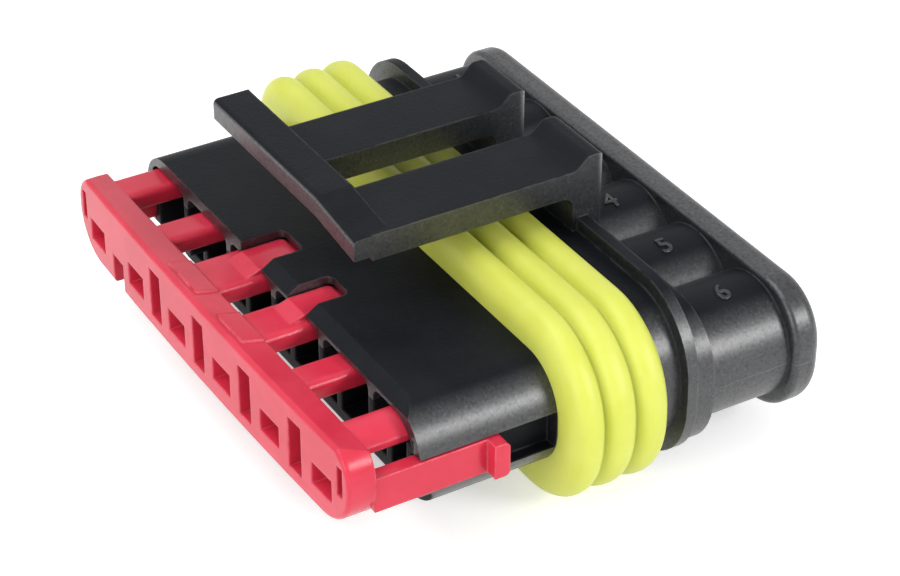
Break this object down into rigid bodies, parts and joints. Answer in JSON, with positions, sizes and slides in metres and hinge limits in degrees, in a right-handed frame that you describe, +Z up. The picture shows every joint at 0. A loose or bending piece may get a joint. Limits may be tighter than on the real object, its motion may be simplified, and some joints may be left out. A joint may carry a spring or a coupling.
{
  "type": "sealed multi-way connector housing",
  "caption": "Sealed plug housing for a single row of wires, with a latch bridge, a ribbed outer seal and a sliding secondary lock at the contact end.",
  "frame": {"origin": "on the contact axis, midway along the row, in the flat rear face of the flange", "axes": "+Y out of the wire entries, -Y towards the mating half; +X along the row of contacts; +Z up, towards the latch bridge"},
  "size_m": [0.0404, 0.0318, 0.0166],
  "materials": {
    "black_moulding": "fine moulded texture, slightly satin",
    "seal_silicone": "smooth translucent silicone, satin",
    "red_moulding": "moulded, half gloss"
  },
  "bodies": {
    "housing": {"housing": "black_moulding", "interface_seal": "seal_silicone"},
    "secondary_lock": {"secondary_lock": "red_moulding"}
  },
  "joints": [
    {"name": "lock_slide", "type": "slide", "parent": "housing", "child": "secondary_lock", "axis": [0, 1, 0], "range_m": [0, 0.0029]}
  ]
}
